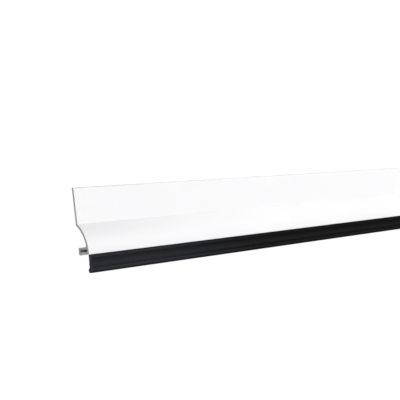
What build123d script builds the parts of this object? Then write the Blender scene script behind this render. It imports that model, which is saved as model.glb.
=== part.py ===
# Adhesive door bottom seal: a white coated aluminium carrier, sawn to length, that is stuck to the foot of a door.
# Its flange lies on the door, a curved apron sweeps forwards from it, and the box behind the apron's lip holds a
# black rubber strip by its head. A band of foam tape on the flange's back, under its release liner, holds it up.
#
# Frame, in millimetres: X runs along the length, the front faces -Y, the door is on the +Y side, and Z is up.
# The origin is the middle of the tape's outer face, where the seal meets the door.
import os
from math import acos, sin, sqrt

from build123d import *

# The carrier's length and the thickness of its sheet
LENGTH = 1000.0
WALL = 1.3

# The apron: a flat flange, an arc that sweeps forwards from it, and a straight lip
FLANGE_HEIGHT = 20.7  # from the top edge to the crease, along the middle of the sheet
SWEEP_RADIUS = 20.0  # of the arc, along the middle of the sheet
SWEEP_DEPTH = 7.0  # how far the lip stands in front of the flange
LIP_HEIGHT = 1.6  # straight stretch under the arc
TOP_FRONT_RADIUS = 1.0  # along the top edge, on the side that is seen
TOP_BACK_RADIUS = 0.25
TOP_FRONT_SHARE = 0.77  # of the sheet's thickness, the most that each of these two may take
TOP_BACK_SHARE = 0.2
LIP_EDGE_RADIUS = 0.35
CREASE_RADIUS = 0.5  # in the hollow of the crease
CREASE_BACK_RADIUS = 1.2

# The box behind the lip, with the slot in its floor
BOX_HEIGHT = 4.2
BOX_ROOF = 1.2
BOX_FLOOR = 1.6
BOX_BACK = 1.2
BOX_CORNER_RADIUS = 0.9
HOLLOW_CORNER_RADIUS = 0.25
ROOF_FILLET = 1.2  # where the roof meets the back of the apron
SLOT_WIDTH = 2.9
SLOT_EDGE_RADIUS = 0.2

# The rubber strip: a head in the box, a neck in the slot, a web, and a bead along its foot
STRIP_SETBACK = 4.5  # from each sawn end of the carrier
HEAD_CLEARANCE = 0.4  # in front of the head and behind it
HEADROOM = 0.3  # above the head
HEAD_EDGE_RADIUS = 0.4
HEAD_EDGE_SHARE = 0.45  # of the head's height, the most that its edge radius may take
NECK_CLEARANCE = 0.1  # in front of the neck and behind it
SHOULDER_CLEARANCE = 0.15  # between the carrier's underside and the web
SHOULDER = 0.15  # how far the web stands out past the neck
SHOULDER_EDGE_RADIUS = 0.12
STRIP_DROP = 10.3  # from the carrier's underside to the bottom of the bead
WEB_LEAN = 0.5  # backwards, from the web's shoulders to its foot
BROW_HEIGHT = 1.7  # upright band in front, between the shoulder and the scoop
WEB_SCOOP = 0.4  # depth of the long hollow in the front of the web
SCOOP_EDGE_RADIUS = 2.0  # along its upper and lower edge
WEB_LAND = 0.8  # flat band between the scoop and the web's foot
WEB_FOOT_RADIUS = 0.3
BEAD_WIDTH = 3.7
BEAD_HEIGHT = 2.9
BEAD_TOE = 1.4  # how far the bead stands out behind the web's shoulders
WAIST_RADIUS = 0.5  # at the back, between the web and the bead
GROOVE_GAP = 0.4  # between the web's foot and the top of the bead, in front
GROOVE_RADIUS = 0.25

# The foam tape and its liner, on the flange's back
TAPE_THICKNESS = 1.0
TAPE_TOP_MARGIN = 2.5  # from the flange's top edge
TAPE_FOOT_MARGIN = 2.2  # from the crease
TAPE_SETBACK = 3.0  # from each sawn end of the carrier
LINER_THICKNESS = 0.12

# Places in Y, worked out from the sizes above: the door's face is at 0, and the front is below it
flange_back = -(TAPE_THICKNESS + LINER_THICKNESS)
flange_front = flange_back - WALL
lip_back = flange_back - SWEEP_DEPTH
lip_middle = lip_back - WALL / 2
lip_front = lip_back - WALL
hollow_back = flange_back - BOX_BACK
slot_middle = (hollow_back + lip_back) / 2
head_reach = (hollow_back - lip_back) / 2 - HEAD_CLEARANCE
neck_reach = SLOT_WIDTH / 2 - NECK_CLEARANCE
web_back = slot_middle + neck_reach + SHOULDER
web_front = slot_middle - neck_reach - SHOULDER

# Heights: the middle of the tape is at 0
tape_width = FLANGE_HEIGHT - TAPE_TOP_MARGIN - TAPE_FOOT_MARGIN
flange_top = tape_width / 2 + TAPE_TOP_MARGIN
crease = flange_top - FLANGE_HEIGHT
sweep_angle = acos(1 - SWEEP_DEPTH / SWEEP_RADIUS)
sweep_foot = crease - SWEEP_RADIUS * sin(sweep_angle)
underside = sweep_foot - LIP_HEIGHT
box_top = underside + BOX_HEIGHT
hollow_floor = underside + BOX_FLOOR
hollow_roof = box_top - BOX_ROOF
head_top = hollow_roof - HEADROOM
web_top = underside - SHOULDER_CLEARANCE
bead_top = underside - STRIP_DROP + BEAD_HEIGHT

# The arc of the sweep, as (y, z) of its centre and the radii of its two faces
sweep_centre = (lip_middle + SWEEP_RADIUS, sweep_foot)
sweep_outer = SWEEP_RADIUS + WALL / 2
sweep_inner = SWEEP_RADIUS - WALL / 2

# The bead, as (y, z) of the middle of its section and of the centre of its round front
bead_middle = (web_back + BEAD_TOE - BEAD_WIDTH / 2, bead_top - BEAD_HEIGHT / 2)
bead_front_centre = (bead_middle[0] - (BEAD_WIDTH - BEAD_HEIGHT) / 2, bead_middle[1])

# The web's foot: its back runs on into the bead, and its front ends above the groove
back_foot = (web_back + WEB_LEAN, bead_middle[1])
front_foot = (web_front + WEB_LEAN, bead_top + GROOVE_GAP)


def across(x):
    """Plane across the length at x, drawn in Y and Z, that extrudes towards +X."""
    return Plane(origin=(x, 0, 0), x_dir=(0, 1, 0), z_dir=(1, 0, 0))


def bar(section, length):
    """The section, drawn in Y and Z, run along X for this length and centred on the origin."""
    return extrude(across(-length / 2) * section, amount=length)


def rectangle(back, front, top, bottom):
    """Rectangle between two places in Y and two in Z, added to the sketch that is open."""
    with Locations(((back + front) / 2, (top + bottom) / 2)):
        Rectangle(abs(back - front), abs(top - bottom))


def corners(section, *places):
    """For each place, the corner nearest to it in the section that is being drawn."""
    return [min(section.vertices(), key=lambda v: (v.X - y) ** 2 + (v.Y - z) ** 2) for y, z in places]


def sweep_height(radius, y):
    """Height at which an arc of this radius about the sweep's centre passes through y."""
    return sweep_centre[1] + radius * sin(acos((sweep_centre[0] - y) / radius))


def apron_back(z):
    """Place in Y of the apron's back face at this height, on the lip or on the sweep."""
    rise = max(0, z - sweep_foot)
    return sweep_centre[0] - sqrt(sweep_inner**2 - rise**2)


def apron_section():
    """The sheet: flange, sweep and lip in one outline of even thickness."""
    front_crease = (flange_front, sweep_height(sweep_outer, flange_front))
    back_crease = (flange_back, sweep_height(sweep_inner, flange_back))
    top_edges = ((flange_back, flange_top), (flange_front, flange_top))
    with BuildSketch() as sheet:
        with BuildLine():
            Polyline(back_crease, *top_edges, front_crease)
            RadiusArc(front_crease, (lip_front, sweep_foot), -sweep_outer)
            Polyline(
                (lip_front, sweep_foot),
                (lip_front, underside),
                (lip_back, underside),
                (lip_back, sweep_foot),
            )
            RadiusArc((lip_back, sweep_foot), back_crease, sweep_inner)
        make_face()
        fillet(corners(sheet, top_edges[0]), min(TOP_BACK_RADIUS, TOP_BACK_SHARE * WALL))
        fillet(corners(sheet, top_edges[1]), min(TOP_FRONT_RADIUS, TOP_FRONT_SHARE * WALL))
        fillet(corners(sheet, front_crease), CREASE_RADIUS)
        fillet(corners(sheet, back_crease), CREASE_BACK_RADIUS)
    return sheet.sketch


def hollow_section():
    """The space inside the box, which the strip's head slides into from an end."""
    with BuildSketch() as hollow:
        rectangle(hollow_back, lip_back, hollow_roof, hollow_floor)
        fillet(hollow.vertices(), HOLLOW_CORNER_RADIUS)
    return hollow.sketch


def carrier_section():
    """The extrusion: the sheet, with the slotted box behind its lip."""
    box_back_edges = ((flange_back, box_top), (flange_back, underside))
    slot_edges = [(slot_middle + side * SLOT_WIDTH / 2, underside) for side in (-1, 1)]
    with BuildSketch() as profile:
        add(apron_section())
        rectangle(flange_back, lip_middle, box_top, underside)
        fillet(corners(profile, (apron_back(box_top), box_top)), ROOF_FILLET)
        fillet(corners(profile, *box_back_edges), BOX_CORNER_RADIUS)
        fillet(corners(profile, (lip_front, underside)), LIP_EDGE_RADIUS)
        add(hollow_section(), mode=Mode.SUBTRACT)
        with BuildSketch(mode=Mode.SUBTRACT):
            rectangle(slot_edges[1][0], slot_edges[0][0], hollow_floor + HOLLOW_CORNER_RADIUS, underside)
        fillet(corners(profile, *slot_edges), SLOT_EDGE_RADIUS)
    return profile.sketch


def web_section():
    """The web between the shoulders and the middle of the bead: it leans back and is scooped in front."""
    shoulders = ((web_front, web_top), (web_back, web_top))
    brow = (web_front, web_top - BROW_HEIGHT)
    face = Vector(*front_foot) - Vector(*brow)
    scoop_end = Vector(*front_foot) - face.normalized() * WEB_LAND
    scoop_foot = (scoop_end.X, scoop_end.Y)
    scoop = ((brow[0] + scoop_foot[0]) / 2 + WEB_SCOOP, (brow[1] + scoop_foot[1]) / 2)
    with BuildSketch() as web:
        with BuildLine():
            Polyline(brow, *shoulders, back_foot, bead_front_centre, front_foot, scoop_foot)
            ThreePointArc(scoop_foot, scoop, brow)
        make_face()
        fillet(corners(web, *shoulders), SHOULDER_EDGE_RADIUS)
        fillet(corners(web, brow, scoop_foot), SCOOP_EDGE_RADIUS)
        fillet(corners(web, front_foot), WEB_FOOT_RADIUS)
    return web.sketch


def strip_section():
    """The rubber strip: its head rests on the box's floor, and the bead hangs under the lip."""
    waist = (back_foot[0], bead_top)
    to_foot = Vector(*front_foot) - Vector(*bead_front_centre)
    groove = Vector(*bead_front_centre) + to_foot.normalized() * BEAD_HEIGHT / 2
    with BuildSketch() as strip:
        rectangle(slot_middle + head_reach, slot_middle - head_reach, head_top, hollow_floor)
        fillet(strip.vertices(), min(HEAD_EDGE_RADIUS, HEAD_EDGE_SHARE * (head_top - hollow_floor)))
        rectangle(slot_middle + neck_reach, slot_middle - neck_reach, hollow_floor, web_top)
        add(web_section())
        with Locations(bead_middle):
            SlotOverall(BEAD_WIDTH, BEAD_HEIGHT)
        fillet(corners(strip, waist), WAIST_RADIUS)
        fillet(corners(strip, (groove.X, groove.Y)), GROOVE_RADIUS)
    return strip.sketch


def carrier():
    return bar(carrier_section(), LENGTH)


def seal_strip():
    return bar(strip_section(), LENGTH - 2 * STRIP_SETBACK)


def band(outer_face, thickness):
    """A flat band behind the flange, as wide and long as the tape, that ends at this place in Y."""
    with BuildSketch() as section:
        rectangle(outer_face, outer_face - thickness, tape_width / 2, -tape_width / 2)
    return bar(section.sketch, LENGTH - 2 * TAPE_SETBACK)


def adhesive_tape():
    return band(-LINER_THICKNESS, TAPE_THICKNESS)


def release_liner():
    return band(0, LINER_THICKNESS)


PARTS = (carrier, seal_strip, adhesive_tape, release_liner)

os.makedirs("parts", exist_ok=True)
for make in PARTS:
    solid = make()
    solid.label = make.__name__
    export_step(solid, f"parts/{make.__name__}.step")
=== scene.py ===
# %% [markdown]
# # An adhesive door bottom seal
# A white coated aluminium profile is stuck to the foot of a door, and a black rubber strip in its lower
# edge closes the gap over the floor. The CAD model has the true sizes and the place of every piece. In
# this lesson each piece is drawn once more, with the marks that its making leaves, and then lit as a
# product on white.

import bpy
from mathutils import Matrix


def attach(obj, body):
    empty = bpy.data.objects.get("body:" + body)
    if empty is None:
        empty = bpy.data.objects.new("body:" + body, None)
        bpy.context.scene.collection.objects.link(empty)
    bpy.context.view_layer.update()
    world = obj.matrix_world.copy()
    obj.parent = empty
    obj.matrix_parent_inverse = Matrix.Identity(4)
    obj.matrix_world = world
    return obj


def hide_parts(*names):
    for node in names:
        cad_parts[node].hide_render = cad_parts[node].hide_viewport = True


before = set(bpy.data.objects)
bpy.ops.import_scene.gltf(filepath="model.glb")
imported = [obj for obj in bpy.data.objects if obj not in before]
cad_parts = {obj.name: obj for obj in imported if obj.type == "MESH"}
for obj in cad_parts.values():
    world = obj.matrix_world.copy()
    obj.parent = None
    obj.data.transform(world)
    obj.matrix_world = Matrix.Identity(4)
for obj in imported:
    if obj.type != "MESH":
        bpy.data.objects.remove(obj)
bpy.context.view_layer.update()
print("pieces of the packed model:", ", ".join(sorted(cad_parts)))

# %% What the lesson uses
from math import acos, asin, atan2, cos, degrees, radians, sin, sqrt

import bpy
from mathutils import Matrix, Vector

MM = 0.001

# %% [markdown]
# ## Writing node trees as sums
# Blender's materials and its Geometry Nodes are both trees of nodes. Wiring them line by line hides what
# they mean, so a socket gets wrapped in a small class that knows plus, minus and times. `1 - mask` then
# adds the Math node by itself, and one method adds every other node.


# %% A socket that can stand in a sum
class Value:
    """The output of a node, which can be used in a sum like a number."""

    def __init__(self, tree, socket):
        self.tree = tree
        self.socket = socket

    def math(self, operation, first, second=0.0):
        return self.tree.node("ShaderNodeMath", {0: first, 1: second}, operation=operation)

    def __add__(self, other):
        return self.math("ADD", self, other)

    def __sub__(self, other):
        return self.math("SUBTRACT", self, other)

    def __rsub__(self, other):
        return self.math("SUBTRACT", other, self)

    def __mul__(self, other):
        return self.math("MULTIPLY", self, other)

    def __truediv__(self, other):
        return self.math("DIVIDE", self, other)

    def __gt__(self, other):
        return self.math("GREATER_THAN", self, other)

    def __abs__(self):
        return self.math("ABSOLUTE", self)

    __radd__ = __add__
    __rmul__ = __mul__


class Tree:
    """A node tree that is written as calls."""

    def __init__(self, tree):
        self.tree = tree
        tree.nodes.clear()

    def node(self, kind, inputs=None, output=0, **settings):
        """Adds a node, with its settings first, and returns one of its outputs."""
        node = self.tree.nodes.new(kind)
        for name, setting in settings.items():
            setattr(node, name, setting)
        for name, value in (inputs or {}).items():
            if isinstance(value, Value):
                self.tree.links.new(value.socket, node.inputs[name])
            else:
                node.inputs[name].default_value = value
        return Value(self, node.outputs[output]) if node.outputs else None

    def other(self, value, output):
        """Another output of the node that this value comes from."""
        return Value(self, value.socket.node.outputs[output])

    def split(self, vector):
        """The X, Y and Z of a vector."""
        x = self.node("ShaderNodeSeparateXYZ", {0: vector})
        return x, self.other(x, "Y"), self.other(x, "Z")

    def noise(self, vector, scale, detail=2.0, roughness=0.5):
        """Soft noise from 0 to 1, with this many bumps to the metre."""
        sockets = {"Vector": vector, "Scale": scale, "Detail": detail, "Roughness": roughness}
        return self.node("ShaderNodeTexNoise", sockets)

    def stretched(self, vector, scale):
        """The vector times a scale of its own for X, Y and Z."""
        return self.node("ShaderNodeVectorMath", {0: vector, 1: scale}, operation="MULTIPLY")

    def ramp(self, value, start, end, **settings):
        """Goes from 0 to 1 while the value goes from start to end."""
        sockets = {"Value": value, "From Min": start, "From Max": end}
        return self.node("ShaderNodeMapRange", sockets, **settings)


print("node trees can now be written as sums")

# %% [markdown]
# ## The sizes
# These are the sizes of the CAD model, in millimetres. Y points at the door, so the front is at negative
# Y, and Z is up. The origin lies on the release liner's outer face, at its middle. Everything else is
# worked out from this list, and so a change of one size moves all that hangs on it.

# %% Sizes in millimetres
LENGTH = 1000.0
WALL = 1.3

# The apron
FLANGE_HEIGHT = 20.7
SWEEP_RADIUS = 20.0
SWEEP_DEPTH = 7.0
LIP_HEIGHT = 1.6
TOP_FRONT_RADIUS = 1.0
TOP_BACK_RADIUS = 0.25
LIP_EDGE_RADIUS = 0.35
CREASE_RADIUS = 0.5
CREASE_BACK_RADIUS = 1.2

# The box behind the lip
BOX_HEIGHT = 4.2
BOX_ROOF = 1.2
BOX_FLOOR = 1.6
BOX_BACK = 1.2
BOX_CORNER_RADIUS = 0.9
HOLLOW_CORNER_RADIUS = 0.25
ROOF_FILLET = 1.2
SLOT_WIDTH = 2.9
SLOT_EDGE_RADIUS = 0.2

# The rubber strip
STRIP_SETBACK = 4.5
HEAD_CLEARANCE = 0.4
HEADROOM = 0.3
HEAD_EDGE_RADIUS = 0.4
NECK_CLEARANCE = 0.1
SHOULDER_CLEARANCE = 0.15
SHOULDER = 0.15
SHOULDER_EDGE_RADIUS = 0.12
STRIP_DROP = 10.3
WEB_LEAN = 0.5
BROW_HEIGHT = 1.7
WEB_SCOOP = 0.4
SCOOP_EDGE_RADIUS = 2.0
WEB_LAND = 0.8
WEB_FOOT_RADIUS = 0.3
BEAD_WIDTH = 3.7
BEAD_HEIGHT = 2.9
BEAD_TOE = 1.4
WAIST_RADIUS = 0.5
GROOVE_GAP = 0.4
GROOVE_RADIUS = 0.25

# The tape and its liner
TAPE_THICKNESS = 1.0
TAPE_TOP_MARGIN = 2.5
TAPE_FOOT_MARGIN = 2.2
TAPE_SETBACK = 3.0
LINER_THICKNESS = 0.12

# Places in Y
flange_back = -(TAPE_THICKNESS + LINER_THICKNESS)
flange_front = flange_back - WALL
lip_back = flange_back - SWEEP_DEPTH
lip_front = lip_back - WALL
hollow_back = flange_back - BOX_BACK
slot_middle = (hollow_back + lip_back) / 2

# Heights, and the middle of the sweep in Y and Z
tape_width = FLANGE_HEIGHT - TAPE_TOP_MARGIN - TAPE_FOOT_MARGIN
flange_top = tape_width / 2 + TAPE_TOP_MARGIN
crease = flange_top - FLANGE_HEIGHT
sweep_angle = acos(1 - SWEEP_DEPTH / SWEEP_RADIUS)
sweep_foot = crease - SWEEP_RADIUS * sin(sweep_angle)
underside = sweep_foot - LIP_HEIGHT
box_top = underside + BOX_HEIGHT
hollow_floor = underside + BOX_FLOOR
hollow_roof = box_top - BOX_ROOF
web_top = underside - SHOULDER_CLEARANCE
bead_top = underside - STRIP_DROP + BEAD_HEIGHT
sweep_centre = (lip_back - WALL / 2 + SWEEP_RADIUS, sweep_foot)
print(f"the apron sweeps through {degrees(sweep_angle):.1f} degrees")
print(f"the carrier is {flange_top - underside:.1f} mm high")

# %% [markdown]
# ## One die for every piece
# Aluminium and rubber profiles are pressed through a die, and tape is slit from a roll, so all four
# pieces are one section run along a straight line. Geometry Nodes follow the same rule: the section is
# drawn once as a ring of corners, each with its own rounding, and the tree rounds it, runs it along the
# length and closes the ends. A drawn face with an Extrude would do for the metal. The tree is better
# because the same one also lets rubber waver and foam ripple along the way.


# %% A section, drawn as a ring of corners
def corner(y, z, rounding=0.0, bare=0.0):
    """A corner in millimetres. bare is 1 where the coat doesn't reach."""
    return y, z, rounding, bare


def rounded(place, rounding):
    """A corner at this place, which may be a corner of an arc, with a rounding of its own."""
    return corner(*place[:2], rounding)


def arc(centre, radius, first, last, steps):
    """Corners along an arc. Angles are in degrees, from -Y upwards, so 90 is straight up."""
    angles = [radians(first + (last - first) * step / steps) for step in range(steps + 1)]
    return [corner(centre[0] - radius * cos(angle), centre[1] + radius * sin(angle)) for angle in angles]


def bow(start, end, depth, steps):
    """Corners from start to end along an arc that bows out this far to the left of the straight way."""
    half = (end - start) / 2
    radius = (half.length_squared + depth**2) / (2 * depth)
    left = Vector((-half.y, half.x)).normalized()
    centre = start + half + left * (depth - radius)
    turn = asin(half.length / radius)
    turns = [turn - 2 * turn * step / steps for step in range(steps + 1)]
    return [corner(*(centre + Matrix.Rotation(turn, 2) @ left * radius)) for turn in turns]


def draw_section(name, outline):
    """The outline as a ring of edges, flat on the ground: Y runs along x and Z along y."""
    mesh = bpy.data.meshes.new(name)
    count = len(outline)
    places = [(y * MM, z * MM, 0) for y, z, _, _ in outline]
    mesh.from_pydata(places, [(i, (i + 1) % count) for i in range(count)], [])
    for label, column, unit in (("rounding", 2, MM), ("bare", 3, 1)):
        attribute = mesh.attributes.new(label, "FLOAT", "POINT")
        attribute.data.foreach_set("value", [place[column] * unit for place in outline])
    piece = bpy.data.objects.new(name, mesh)
    bpy.context.scene.collection.objects.link(piece)
    return piece


print("a section is a list of corners, and an arc or a bow adds many of them")


# %% The die: a Geometry Nodes tree
CRISP_ANGLE = 34  # degrees, and edges that are sharper than this stay crisp


def build_die():
    """The tree that rounds a section and runs it along X."""
    group = bpy.data.node_groups.new("run_through_die", "GeometryNodeTree")
    group.interface.new_socket("Geometry", in_out="OUTPUT", socket_type="NodeSocketGeometry")
    sockets = {
        "Section": "Geometry",
        "Length": "Float",
        "Rings": "Int",
        "Corner Points": "Int",
        "Waver": "Vector",
        "Waver Scale": "Float",
        "Held Above": "Float",
        "Loose Below": "Float",
        "Side Material": "Material",
        "Bare Material": "Material",
        "Cut Material": "Material",
    }
    for name, kind in sockets.items():
        group.interface.new_socket(name, in_out="INPUT", socket_type="NodeSocket" + kind)
    die = Tree(group)
    section = die.node("NodeGroupInput", output="Section")
    given = {name: die.other(section, name) for name in sockets}

    # The ring becomes a closed curve, and its corners are rounded
    ring = die.node("GeometryNodeMeshToCurve", {"Mesh": section})
    rounding = die.node("GeometryNodeInputNamedAttribute", {"Name": "rounding"}, data_type="FLOAT")
    corners = {"Curve": ring, "Count": given["Corner Points"], "Radius": rounding, "Limit Radius": True}
    ring = die.node("GeometryNodeFilletCurve", corners, mode="POLY")
    # A curve's x and y land on -Y and -Z of a sweep along +X, so the ring is turned by half a turn first
    ring = die.node("GeometryNodeTransform", {"Geometry": ring, "Rotation": (0, 0, radians(180))})

    # It runs along a straight line with many rings
    half = given["Length"] / 2
    ends = [die.node("ShaderNodeCombineXYZ", {"X": end}) for end in (0 - half, half)]
    line = die.node("GeometryNodeCurvePrimitiveLine", {"Start": ends[0], "End": ends[1]}, mode="POINTS")
    line = die.node("GeometryNodeResampleCurve", {"Curve": line, "Count": given["Rings"]}, mode="COUNT")
    line = die.node("GeometryNodeSetCurveNormal", {"Curve": line}, mode="Z_UP")
    bar = die.node("GeometryNodeCurveToMesh", {"Curve": line, "Profile Curve": ring, "Fill Caps": True})

    # What is soft wavers to both sides, more and more from where it is held to where it is loose
    place = die.node("GeometryNodeInputPosition")
    height = die.split(place)[2]
    looseness = die.ramp(height, given["Held Above"], given["Loose Below"], interpolation_type="SMOOTHSTEP")
    swing = (die.noise(place, given["Waver Scale"]) - 0.5) * 2 * looseness
    move = die.node("ShaderNodeVectorMath", {0: given["Waver"], "Scale": swing}, operation="SCALE")
    bar = die.node("GeometryNodeSetPosition", {"Geometry": bar, "Offset": move})

    # Cut edges stay crisp, and each face gets its material: a face is bare where all its corners are, and
    # the cuts are the faces that look along X
    angle = die.node("GeometryNodeInputMeshEdgeAngle")
    bar = die.node("GeometryNodeSetShadeSmooth", {"Geometry": bar, "Shade Smooth": True}, domain="FACE")
    crisp = {"Geometry": bar, "Selection": angle > radians(CRISP_ANGLE), "Shade Smooth": False}
    bar = die.node("GeometryNodeSetShadeSmooth", crisp, domain="EDGE")
    bar = die.node("GeometryNodeRealizeInstances", {"Geometry": bar})
    bare = die.node("GeometryNodeInputNamedAttribute", {"Name": "bare"}, data_type="FLOAT")
    facing = die.split(die.node("GeometryNodeInputNormal"))[0]
    for mask, material in ((None, "Side"), (bare > 0.9, "Bare"), (abs(facing) > 0.7, "Cut")):
        paint = {"Geometry": bar, "Material": given[material + " Material"]}
        if mask:
            paint["Selection"] = mask
        bar = die.node("GeometryNodeSetMaterial", paint)
    die.node("NodeGroupOutput", {0: bar})
    return group


die = build_die()
print("the die takes:", ", ".join(item.name for item in die.interface.items_tree if item.in_out == "INPUT"))


# %% Running a section through the die
STILL = {"Waver": (0, 0, 0), "Waver Scale": 1.0, "Held Above": 1.0, "Loose Below": 0.0}


def run_through_die(name, outline, materials, **sizes):
    """The finished bar as a plain mesh, with the modifier gone.

    The materials are those of its sides, of what is bare and of its cut ends. A size that isn't given
    leaves the bar straight.
    """
    piece = draw_section(name, outline)
    modifier = piece.modifiers.new("die", "NODES")
    modifier.node_group = die
    keys = {item.name: item.identifier for item in die.interface.items_tree if item.in_out == "INPUT"}
    given = STILL | {size.replace("_", " "): value for size, value in sizes.items()}
    given |= zip(("Side Material", "Bare Material", "Cut Material"), materials)
    for size, value in given.items():
        modifier[keys[size]] = value
    evaluated = piece.evaluated_get(bpy.context.evaluated_depsgraph_get())
    plain = bpy.data.meshes.new_from_object(evaluated)
    piece.modifiers.clear()
    piece.data = plain
    plain.name = name
    print(f"{name}: {len(plain.polygons)} faces, {[round(size / MM, 2) for size in piece.dimensions]} mm")
    return piece


# %% [markdown]
# ## The finishes
# Every finish is worked out from the object's own coordinates, in metres, so a mark is as large on the
# model as on the real thing. A picture of a surface would have to be laid round each section, and it
# would blur close by.


# %% A material that is closed by one call
class Finish(Tree):
    """A material whose tree is written as calls."""

    def __init__(self, name):
        self.material = bpy.data.materials.new(name)
        self.material.use_nodes = True
        super().__init__(self.material.node_tree)
        self.place = self.node("ShaderNodeTexCoord", output="Object")

    def grain(self, bumps, detail, roughness=0.5):
        """Noise with a number of bumps to the metre of its own for X, Y and Z."""
        return self.noise(self.stretched(self.place, bumps), 1.0, detail, roughness)

    def lines(self, along, across, detail, roughness=0.5):
        """Noise with this many bumps to the metre along the length, and across it."""
        return self.grain((along, across, across), detail, roughness)

    def blend(self, mask, low, high):
        """A colour that goes from low to high with the mask."""
        return self.node("ShaderNodeMix", {0: mask, 6: low, 7: high}, output=2, data_type="RGBA")

    def bump(self, height, depth, strength):
        """A relief of this depth in millimetres."""
        return self.node("ShaderNodeBump", {"Height": height, "Distance": depth * MM, "Strength": strength})

    def close(self, **surface):
        """Ends the tree in one Principled shader."""
        sockets = {name.replace("_", " "): value for name, value in surface.items()}
        shader = self.node("ShaderNodeBsdfPrincipled", sockets)
        self.node("ShaderNodeOutputMaterial", {"Surface": shader})
        return self.material


def grey(level, blue=1.0):
    """A grey from 0 to 1 in linear light, and a touch of blue."""
    return level, level, level * blue, 1.0


# %% [markdown]
# ### White coat
# The profile is powder coated and baked. The coat flows out almost level, but keeps a faint orange peel,
# and the die lines of the metal show through it as long soft streaks. A band of painted shade greys the
# flange's rounded top edge, which faces up. Its gloss differs where hands have held it.


# %% White coat
COAT = (grey(0.885), grey(0.915))
# painted shade: the flange's rounded top edge is coloured this greyer white
PAINTED_EDGE_SHADE = grey(0.86)
EDGE_SHADE_FROM = 1.1  # mm under the flange's top edge, from where the painted shade starts
EDGE_SHADE_FULL = 0.3  # mm under it, from where the painted shade is full


def white_coat():
    finish = Finish("white_coat")
    streaks = finish.lines(along=5, across=900, detail=3)
    peel = finish.noise(finish.place, scale=700, detail=2)
    handling = finish.noise(finish.place, scale=14, detail=4, roughness=0.6)
    height = finish.split(finish.place)[2]
    # painted shade: a greyer band along the flange's top edge
    edge = finish.ramp(height, (flange_top - EDGE_SHADE_FROM) * MM, (flange_top - EDGE_SHADE_FULL) * MM)
    return finish.close(
        Base_Color=finish.blend(edge, finish.blend(handling, *COAT), PAINTED_EDGE_SHADE),
        Roughness=0.34 + handling * 0.12,
        Normal=finish.bump(peel * 0.7 + streaks * 0.3, depth=0.03, strength=0.5),
    )


# %% [markdown]
# ### Sawn and bare aluminium
# A saw leaves shallow arcs across the end of the profile, all struck from the middle of a large blade. So
# the pattern is a noise of one number: the distance from that middle. Inside the box the coat doesn't
# reach, and there the metal keeps the fine lines of the die along its length, under a dull skin of oxide.


# %% Sawn aluminium and mill aluminium
BLADE_CENTRE = (0.0, 0.11, 0.06)  # metres, behind the seal and above it
METAL_BLUE = 1.02  # how much more blue than red there is in bare aluminium
SAWN = (grey(0.28, METAL_BLUE), grey(0.52, METAL_BLUE))
MILL = (grey(0.66, METAL_BLUE), grey(0.86, METAL_BLUE))


def sawn_aluminium():
    finish = Finish("sawn_aluminium")
    from_blade = {0: finish.stretched(finish.place, (0, 1, 1)), 1: BLADE_CENTRE}
    reach = finish.node("ShaderNodeVectorMath", from_blade, output="Value", operation="DISTANCE")
    marks = {"W": reach, "Scale": 3200.0, "Detail": 3.0}
    teeth = finish.node("ShaderNodeTexNoise", marks, noise_dimensions="1D")
    stain = finish.noise(finish.place, scale=260, detail=3)
    return finish.close(
        Base_Color=finish.blend(teeth * 0.7 + stain * 0.3, *SAWN),
        Metallic=1.0,
        Roughness=0.42 + stain * 0.2,
        Normal=finish.bump(teeth, depth=0.06, strength=0.6),
    )


def mill_aluminium():
    finish = Finish("mill_aluminium")
    lines = finish.lines(along=4, across=4200, detail=3)
    return finish.close(
        Base_Color=finish.blend(lines, *MILL),
        Metallic=0.6,
        Roughness=0.5,
        Normal=finish.bump(lines, depth=0.03, strength=0.5),
    )


# %% [markdown]
# ### Black rubber
# The strip is pressed through a die as well, and rubber keeps finer and deeper lines than metal. It is
# satin rather than glossy. A thin grey is painted on it as a sheen near both ends, patchy there and gone
# towards the middle, and as painted light in a band just under the lip and in the groove above the bead,
# where it lifts their shade. The die lines show in this grey too.


# %% Black rubber
RUBBER = (0.0020, 0.0020, 0.0021, 1)
# grey that paints a sheen and light on the rubber, and shows its die lines
FILM_AND_PAINTED_LIGHT = (0.0185, 0.0215, 0.0275, 1)
PAINTED_SHEEN_FROM, PAINTED_SHEEN_FULL = 350.0, 460.0  # mm from the middle, between which the painted sheen near the ends comes in
GROOVE_LIGHT_LEVEL = bead_top - 0.5  # mm, on the bead's shoulder and in the groove above it
GROOVE_LIGHT_EDGE, GROOVE_LIGHT_CORE = 1.6, 0.6  # mm above it and below it, between which the painted light in the groove comes in
LIP_LIGHT_FROM, LIP_LIGHT_TO = 2.0, 1.2  # mm under the lip, between which the painted light under the lip comes in


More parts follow.
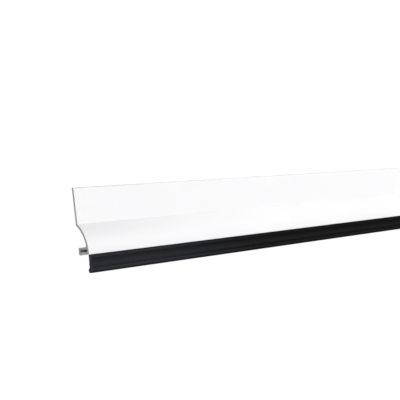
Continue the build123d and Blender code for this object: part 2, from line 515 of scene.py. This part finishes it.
def black_rubber():
    finish = Finish("black_rubber")
    lines = finish.lines(along=3, across=2300, detail=3, roughness=0.6)
    patches = finish.lines(along=30, across=160, detail=4, roughness=0.6)
    along, _, height = finish.split(finish.place)
    # painted sheen: the rubber is coloured lighter within about 150 mm of both ends
    painted_sheen_ends = finish.ramp(abs(along), PAINTED_SHEEN_FROM * MM, PAINTED_SHEEN_FULL * MM)
    # painted light: a lighter band just under the lip, where the lip's shade falls
    painted_lip_light = finish.ramp(height, (underside - LIP_LIGHT_FROM) * MM, (underside - LIP_LIGHT_TO) * MM)
    # painted light: lighter in the groove above the bead, which lifts the groove's shade
    in_groove = finish.ramp(abs(height - GROOVE_LIGHT_LEVEL * MM), GROOVE_LIGHT_EDGE * MM, GROOVE_LIGHT_CORE * MM)
    painted_sheen = painted_sheen_ends * (0.7 + patches * 0.65 + painted_lip_light * 1.6)
    painted_groove_light = in_groove * (0.2 + painted_sheen_ends * 0.8)
    # the random patches and the die lines are the rubber's own tone, and the rest of this grey is painted
    # light
    film_and_painted_light = painted_sheen + lines * 0.25 + painted_groove_light - 0.12
    return finish.close(
        Base_Color=finish.blend(film_and_painted_light / 2, RUBBER, FILM_AND_PAINTED_LIGHT),
        Roughness=0.54 + patches * 0.12,
        Specular_IOR_Level=0.18,
        Normal=finish.bump(lines, depth=0.06, strength=0.4),
    )


# %% [markdown]
# ### Chopped rubber
# The strip is chopped to length with a knife before it is slid into the box. Under the die's skin rubber
# is dull and a little greyer, and the knife drags fine lines down the face as it goes through. Both ends
# show it, so the cut gets a finish of its own.


# %% Chopped rubber
CHOPPED = ((0.046, 0.047, 0.050, 1), (0.062, 0.064, 0.068, 1))


def chopped_rubber():
    finish = Finish("chopped_rubber")
    drag = finish.grain((0, 3000, 250), detail=3)
    crumbs = finish.noise(finish.place, scale=2400, detail=4, roughness=0.7)
    return finish.close(
        Base_Color=finish.blend(crumbs * 0.6 + drag * 0.4, *CHOPPED),
        Roughness=0.66 + crumbs * 0.1,
        Specular_IOR_Level=0.18,
        Normal=finish.bump(drag, depth=0.04, strength=0.5),
    )


# %% [markdown]
# ### Foam and paper
# The tape's foam is full of small closed cells, which the slitting knife has opened along its edges. The
# liner is paper with a slick coat, smooth to the hand, with the fibres showing through.


# %% Foam tape and liner paper
FOAM_BLUE = 0.97  # foam is a little yellow
FOAM = (grey(0.52, FOAM_BLUE), grey(0.80, FOAM_BLUE))
PAPER = ((0.80, 0.77, 0.69, 1), (0.88, 0.86, 0.79, 1))


def tape_foam():
    finish = Finish("slit_foam")
    sockets = {"Vector": finish.place, "Scale": 2600.0}
    cells = finish.node("ShaderNodeTexVoronoi", sockets, output="Distance")
    return finish.close(
        Base_Color=finish.blend(cells, *FOAM),
        Roughness=0.85,
        Normal=finish.bump(cells, depth=0.2, strength=0.8),
    )


def liner_paper():
    finish = Finish("slick_paper")
    fibres = finish.grain((500, 1, 1400), detail=4, roughness=0.65)
    return finish.close(
        Base_Color=finish.blend(fibres, *PAPER),
        Roughness=0.34 + fibres * 0.1,
        Normal=finish.bump(fibres, depth=0.02, strength=0.4),
    )


white, sawn, mill = white_coat(), sawn_aluminium(), mill_aluminium()
rubber, chopped = black_rubber(), chopped_rubber()
foam, paper = tape_foam(), liner_paper()
finishes = (white, sawn, mill, rubber, chopped, foam, paper)
print("finishes:", ", ".join(material.name for material in finishes))

# %% [markdown]
# ## The carrier
# This is the white part. A flat flange carries the tape, the apron sweeps forwards over the gap, and
# behind its lip there is a box with a slot in its floor. It is one extrusion, so it is one ring of
# corners: down the front, round the inside of the box, and up the back. The two faces of the apron are
# arcs about the same middle.


# %% The carrier's section
def sweep_point(radius, y):
    """Angle in degrees at which the arc of this radius about the sweep's middle passes through y."""
    return degrees(acos((sweep_centre[0] - y) / radius))


outer = SWEEP_RADIUS + WALL / 2
inner = SWEEP_RADIUS - WALL / 2
front_arc = arc(sweep_centre, outer, sweep_point(outer, flange_front), 0, steps=20)
roof_angle = degrees(asin((box_top - sweep_foot) / inner))
# Its steps are long, because the roof's fillet has to end within the first of them
back_arc = arc(sweep_centre, inner, roof_angle, sweep_point(inner, flange_back), steps=10)
slot_front = slot_middle - SLOT_WIDTH / 2
slot_back = slot_middle + SLOT_WIDTH / 2

carrier_outline = [
    corner(flange_back, flange_top, TOP_BACK_RADIUS),
    corner(flange_front, flange_top, TOP_FRONT_RADIUS),
    rounded(front_arc[0], CREASE_RADIUS),
    *front_arc[1:],
    corner(lip_front, underside, LIP_EDGE_RADIUS),
    corner(slot_front, underside, SLOT_EDGE_RADIUS),
    corner(slot_front, hollow_floor, bare=1),
    corner(lip_back, hollow_floor, HOLLOW_CORNER_RADIUS, bare=1),
    corner(lip_back, hollow_roof, HOLLOW_CORNER_RADIUS, bare=1),
    corner(hollow_back, hollow_roof, HOLLOW_CORNER_RADIUS, bare=1),
    corner(hollow_back, hollow_floor, HOLLOW_CORNER_RADIUS, bare=1),
    corner(slot_back, hollow_floor, bare=1),
    corner(slot_back, underside, SLOT_EDGE_RADIUS),
    corner(flange_back, underside, BOX_CORNER_RADIUS),
    corner(flange_back, box_top, BOX_CORNER_RADIUS),
    rounded(back_arc[0], ROOF_FILLET),
    *back_arc[1:-1],
    rounded(back_arc[-1], CREASE_BACK_RADIUS),
]

# %% The carrier
carrier = run_through_die(
    "carrier_profile",
    carrier_outline,
    (white, mill, sawn),
    Length=LENGTH * MM,
    Rings=9,
    Corner_Points=6,
)
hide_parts("carrier")
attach(carrier, "root")

# %% [markdown]
# ## The rubber strip
# The strip hangs in the slot by its head. Under the lip its web is scooped a little in front, and a round
# bead stiffens its foot and rubs on the floor. The corners where web and bead meet lie on the bead's own
# circle, so they are worked out from it. Rubber of a metre's length never hangs quite straight: the foot
# wavers by a tenth of a millimetre.

# %% The strip's section
head_reach = (hollow_back - lip_back) / 2 - HEAD_CLEARANCE
head_top = hollow_roof - HEADROOM
neck_reach = SLOT_WIDTH / 2 - NECK_CLEARANCE
web_back = slot_middle + neck_reach + SHOULDER
web_front = slot_middle - neck_reach - SHOULDER

# The bead is round in front and behind, with a short flat stretch between the two
bead_radius = BEAD_HEIGHT / 2
bead_back = Vector((web_back + BEAD_TOE - bead_radius, bead_top - bead_radius))
bead_front = bead_back - Vector((BEAD_WIDTH - BEAD_HEIGHT, 0))

# The web's face: a brow, a scoop that is an arc, and a flat land down to the foot
brow = Vector((web_front, web_top - BROW_HEIGHT))
front_foot = Vector((web_front + WEB_LEAN, bead_top + GROOVE_GAP))
scoop_foot = front_foot - (front_foot - brow).normalized() * WEB_LAND
scoop = bow(brow, scoop_foot, WEB_SCOOP, steps=8)

# The groove lies where the line from the web's foot to the middle of the bead's front meets the bead
to_foot = front_foot - bead_front
groove = bead_front + to_foot.normalized() * bead_radius
groove_turn = degrees(atan2(to_foot.y, -to_foot.x))
# The web's back leans into the bead, and meets its round back just past the top
waist_y = web_back + WEB_LEAN * (web_top - bead_top) / (web_top - bead_back.y)
waist = (waist_y, bead_back.y + sqrt(bead_radius**2 - (waist_y - bead_back.x) ** 2))
# The bead is round between these angles, and the roundings of the groove and the waist take the rest
bead_from, bead_foot, bead_to = groove_turn - 14, -90, -238

strip_outline = [
    corner(slot_middle + head_reach, head_top, HEAD_EDGE_RADIUS),
    corner(slot_middle - head_reach, head_top, HEAD_EDGE_RADIUS),
    corner(slot_middle - head_reach, hollow_floor, HEAD_EDGE_RADIUS),
    corner(slot_middle - neck_reach, hollow_floor),
    corner(slot_middle - neck_reach, web_top),
    corner(web_front, web_top, SHOULDER_EDGE_RADIUS),
    rounded(brow, SCOOP_EDGE_RADIUS),
    *scoop[1:-1],
    rounded(scoop_foot, SCOOP_EDGE_RADIUS),
    rounded(front_foot, WEB_FOOT_RADIUS),
    rounded(groove, GROOVE_RADIUS),
    *arc(bead_front, bead_radius, bead_from, bead_foot, steps=11),
    *arc(bead_back, bead_radius, bead_foot, bead_to, steps=12),
    rounded(waist, WAIST_RADIUS),
    corner(web_back, web_top, SHOULDER_EDGE_RADIUS),
    corner(slot_middle + neck_reach, web_top),
    corner(slot_middle + neck_reach, hollow_floor),
    corner(slot_middle + head_reach, hollow_floor, HEAD_EDGE_RADIUS),
]

# %% The strip
FOOT_WAVER = 0.12  # mm, forwards and backwards

strip = run_through_die(
    "rubber_strip",
    strip_outline,
    (rubber, rubber, chopped),
    Length=(LENGTH - 2 * STRIP_SETBACK) * MM,
    Rings=160,
    Corner_Points=5,
    Waver=(0, FOOT_WAVER * MM, 0),
    Waver_Scale=9.0,
    Held_Above=web_top * MM,
    Loose_Below=bead_top * MM,
)
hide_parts("seal_strip")
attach(strip, "root")

# %% [markdown]
# ## The foam tape and its liner
# Both are hidden in use, but they show from behind. The tape is a flat band whose slit edges ripple
# slightly, since foam gives under the knife. The liner over it is a sheet of paper as wide as the tape.


# %% Tape and liner
EDGE_RIPPLE = 0.07  # mm, up and down


def band(outer_face, thickness, steps):
    """Section of a flat band behind the flange, with corners along its narrow edges."""
    half = tape_width / 2
    levels = [outer_face - thickness * step / steps for step in range(steps + 1)]
    return [corner(y, half) for y in levels] + [corner(y, -half) for y in reversed(levels)]


tape_length = (LENGTH - 2 * TAPE_SETBACK) * MM
tape = run_through_die(
    "foam_tape",
    band(-LINER_THICKNESS, TAPE_THICKNESS, steps=4),
    (foam, foam, foam),
    Length=tape_length,
    Rings=1400,
    Corner_Points=1,
    Waver=(0, 0, EDGE_RIPPLE * MM),
    Waver_Scale=520.0,
    Loose_Below=0.5,
)
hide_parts("adhesive_tape")
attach(tape, "root")

liner_section = band(0.0, LINER_THICKNESS, steps=1)
papers = (paper, paper, paper)
liner = run_through_die("liner_sheet", liner_section, papers, Length=tape_length, Rings=2, Corner_Points=1)
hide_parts("release_liner")
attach(liner, "root")

# %% [markdown]
# ## Floor, world and lamps
# The seal is shown on white, clear of the floor. The world gives an even light that is a little cool, but
# to the camera it is a white wall, brighter with height so that the picture's corners stay clean. In
# reflections only the back of the studio is white. Its front and ceiling are dim there, which keeps the
# rubber black.
#
# The key lamp is large, soft and high in front: it shines on the flange and the lip, and less on the top
# of the apron, which is what draws its curve. A narrow lamp overhead hangs over the middle and not over
# the ends, so that this shade fades away from them. A third lamp fills in the back, with its tape and
# liner.

# %% World
AMBIENT = 0.375  # strength of the even light
AMBIENT_COLOUR = (0.965, 0.96, 1.0, 1)
DIM_ROOM = 0.08  # strength of the studio's front and ceiling, in reflections alone
WALL_RISE = 0.7  # how much brighter the wall would be straight overhead, to the camera alone
BACK_EDGE = 0.15  # half of the soft edge between the dim front and the white back


def white_to(tree, backwards):
    """1 for a ray that should meet plain white, and the masks of camera rays and of reflections.

    White are the camera's own rays, those through glass, and the reflections that run to the back of the
    studio. backwards is how far a place or a direction lies towards the back wall.
    """
    camera_ray = tree.node("ShaderNodeLightPath", output="Is Camera Ray")
    through_glass = tree.other(camera_ray, "Is Transmission Ray")
    reflection = tree.other(camera_ray, "Is Glossy Ray")
    back = tree.ramp(backwards, -BACK_EDGE, BACK_EDGE, interpolation_type="SMOOTHSTEP")
    return camera_ray + through_glass + reflection * back, camera_ray, reflection


world = bpy.data.worlds.new("studio")
bpy.context.scene.world = world
world.use_nodes = True
sky = Tree(world.node_tree)
_, backwards, upwards = sky.split(sky.node("ShaderNodeTexCoord", output="Generated"))
white_ray, camera_ray, reflection = white_to(sky, backwards - upwards)
room_light = AMBIENT - reflection * (AMBIENT - DIM_ROOM)
room = sky.node("ShaderNodeBackground", {"Color": AMBIENT_COLOUR, "Strength": room_light})
wall_light = 1.0 + camera_ray * abs(upwards) * WALL_RISE
white_wall = sky.node("ShaderNodeBackground", {"Color": grey(1.0), "Strength": wall_light})
shown = sky.node("ShaderNodeMixShader", {0: white_ray, 1: room, 2: white_wall})
sky.node("ShaderNodeOutputWorld", {"Surface": shown})
print("the world lights the seal at", AMBIENT)

# %% Floor
FLOOR_LEVEL = -0.30
FLOOR_SIDE = 6.0
FLOOR_GREY = 0.8
FLOOR_GLOW = 0.75  # what it gives off by itself where it should look white

reach = FLOOR_SIDE / 2
floor_corners = [(-reach, -reach), (reach, -reach), (reach, reach), (-reach, reach)]
floor_mesh = bpy.data.meshes.new("floor")
floor_mesh.from_pydata([(x, y, FLOOR_LEVEL) for x, y in floor_corners], [], [(0, 1, 2, 3)])
floor = bpy.data.objects.new("floor", floor_mesh)
bpy.context.scene.collection.objects.link(floor)
ground = Finish("floor_white")
white_ray, _, reflection = white_to(ground, ground.split(ground.place)[1])
shade = ground.blend(reflection, grey(FLOOR_GREY), grey(DIM_ROOM))
matte = ground.node("ShaderNodeBsdfDiffuse", {"Color": shade})
glow = ground.node("ShaderNodeEmission", {"Strength": white_ray * FLOOR_GLOW})
lit = ground.node("ShaderNodeAddShader", {0: matte, 1: glow})
ground.node("ShaderNodeOutputMaterial", {"Surface": lit})
floor_mesh.materials.append(ground.material)
print("the floor lies at", FLOOR_LEVEL, "m")


# %% Lamps
def softbox(name, place, aim, sides, power, spread=180.0):
    """An area lamp at place that faces aim. A grid in front may narrow its spread, in degrees."""
    light = bpy.data.lights.new(name, "AREA")
    light.shape = "RECTANGLE"
    light.size, light.size_y = sides
    light.spread = radians(spread)
    light.energy = power
    lamp = bpy.data.objects.new(name, light)
    lamp.location = place
    lamp.rotation_euler = (Vector(aim) - Vector(place)).to_track_quat("-Z", "Y").to_euler()
    bpy.context.scene.collection.objects.link(lamp)
    return lamp


lamps = (
    softbox("key", (0.15, -1.6, 0.5), aim=(-0.2, 0, -0.01), sides=(1.0, 1.0), power=21.0),
    softbox("overhead", (0, -0.03, 0.5), aim=(0, -0.006, 0), sides=(0.88, 0.2), power=0.13, spread=24),
    softbox("back_fill", (0.1, 1.6, 0.3), aim=(0, 0, 0), sides=(1.0, 1.0), power=14.0),
)
for lamp in lamps:
    print("lamp:", lamp.name, "at", tuple(round(c, 2) for c in lamp.location))

# %% [markdown]
# ## The camera
# The camera stands in front of the near end, close to the seal, and looks along it almost level. It is
# rolled by a few degrees, which lets the flange's top edge run nearly flat across the picture while the
# lower edges climb.

# %% Camera
HEADING = 46.7  # degrees to the right of the straight look at the door
RISE = 1.76  # degrees above level
ROLL = -6.55  # degrees about the way it looks
CAMERA_PLACE = Vector((-851.4, -427.3, -21.1)) * MM

view = bpy.data.cameras.new("camera")
view.lens = 90.0
view.sensor_width = 36.0
view.clip_start = 0.01
camera = bpy.data.objects.new("camera", view)
turn = Matrix.Rotation(radians(-HEADING), 4, "Z") @ Matrix.Rotation(radians(90 + RISE), 4, "X")
camera.matrix_world = Matrix.Translation(CAMERA_PLACE) @ turn @ Matrix.Rotation(radians(ROLL), 4, "Z")
bpy.context.scene.collection.objects.link(camera)
bpy.context.scene.camera = camera
bpy.context.scene.view_settings.view_transform = "Standard"
axes = camera.matrix_world.to_3x3()
print("right", [round(c, 4) for c in axes.col[0]], "forward", [round(-c, 4) for c in axes.col[2]])
